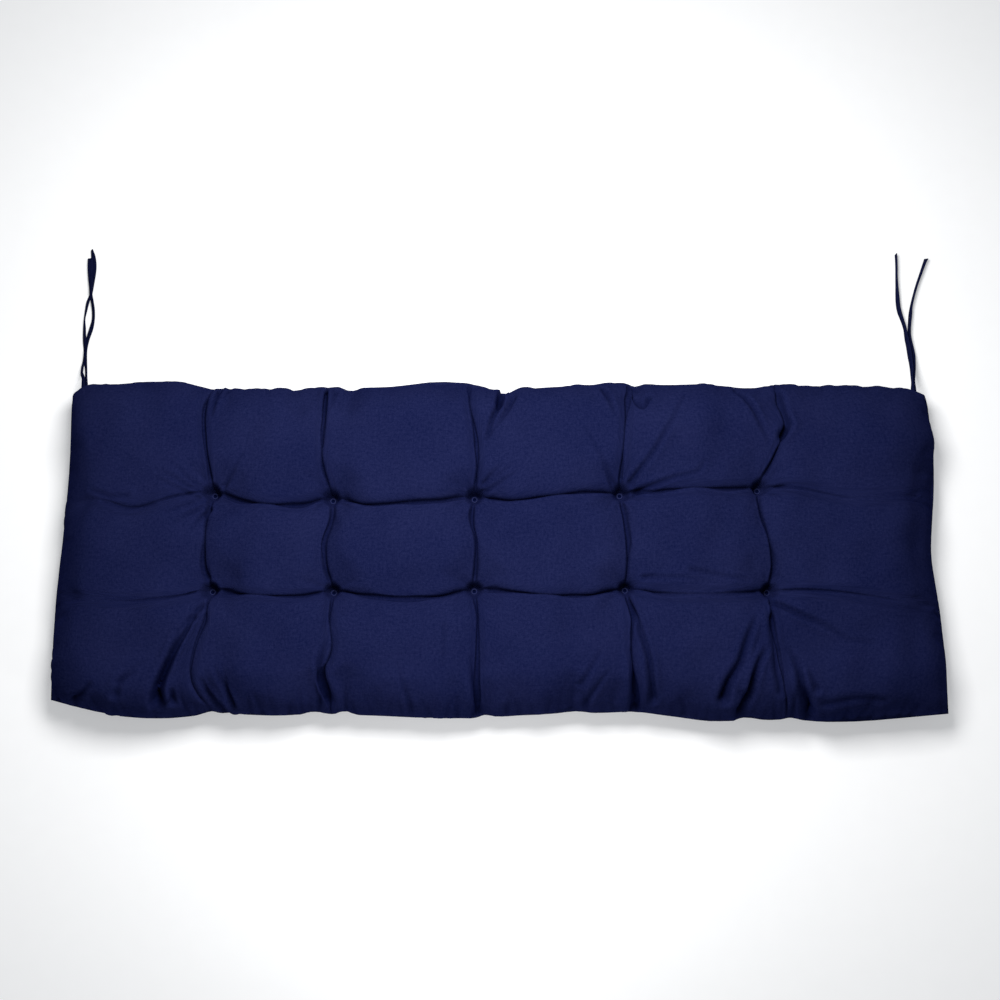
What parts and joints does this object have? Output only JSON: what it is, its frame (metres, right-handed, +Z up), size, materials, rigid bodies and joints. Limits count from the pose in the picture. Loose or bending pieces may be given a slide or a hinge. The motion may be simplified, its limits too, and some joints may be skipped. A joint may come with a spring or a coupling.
{
  "type": "bench cushion",
  "caption": "Tufted knife-edge bench cushion, filled, with a pair of flat fabric ties at its back corners.",
  "frame": {"origin": "on the surface that the cushion lies on, under the middle of its box, measured without the ties", "axes": "+X along the bench, +Y towards the back edge where the ties are sewn in, +Z up out of the tufted face"},
  "size_m": [1.2378, 0.6905, 0.101],
  "materials": {
    "cover": "fine plain-woven navy polyester with a soft sheen",
    "tack": "navy polyester thread, wound in a small ring",
    "tie": "navy polyester, folded and stitched flat"
  },
  "bodies": {
    "root": {"cushion": "cover", "tack_front_1": "tack", "tack_front_2": "tack", "tack_front_3": "tack", "tack_front_4": "tack", "tack_front_5": "tack", "tack_back_1": "tack", "tack_back_2": "tack", "tack_back_3": "tack", "tack_back_4": "tack", "tack_back_5": "tack", "tie_left_a": "tie", "tie_left_b": "tie", "tie_right_a": "tie", "tie_right_b": "tie"}
  },
  "joints": []
}
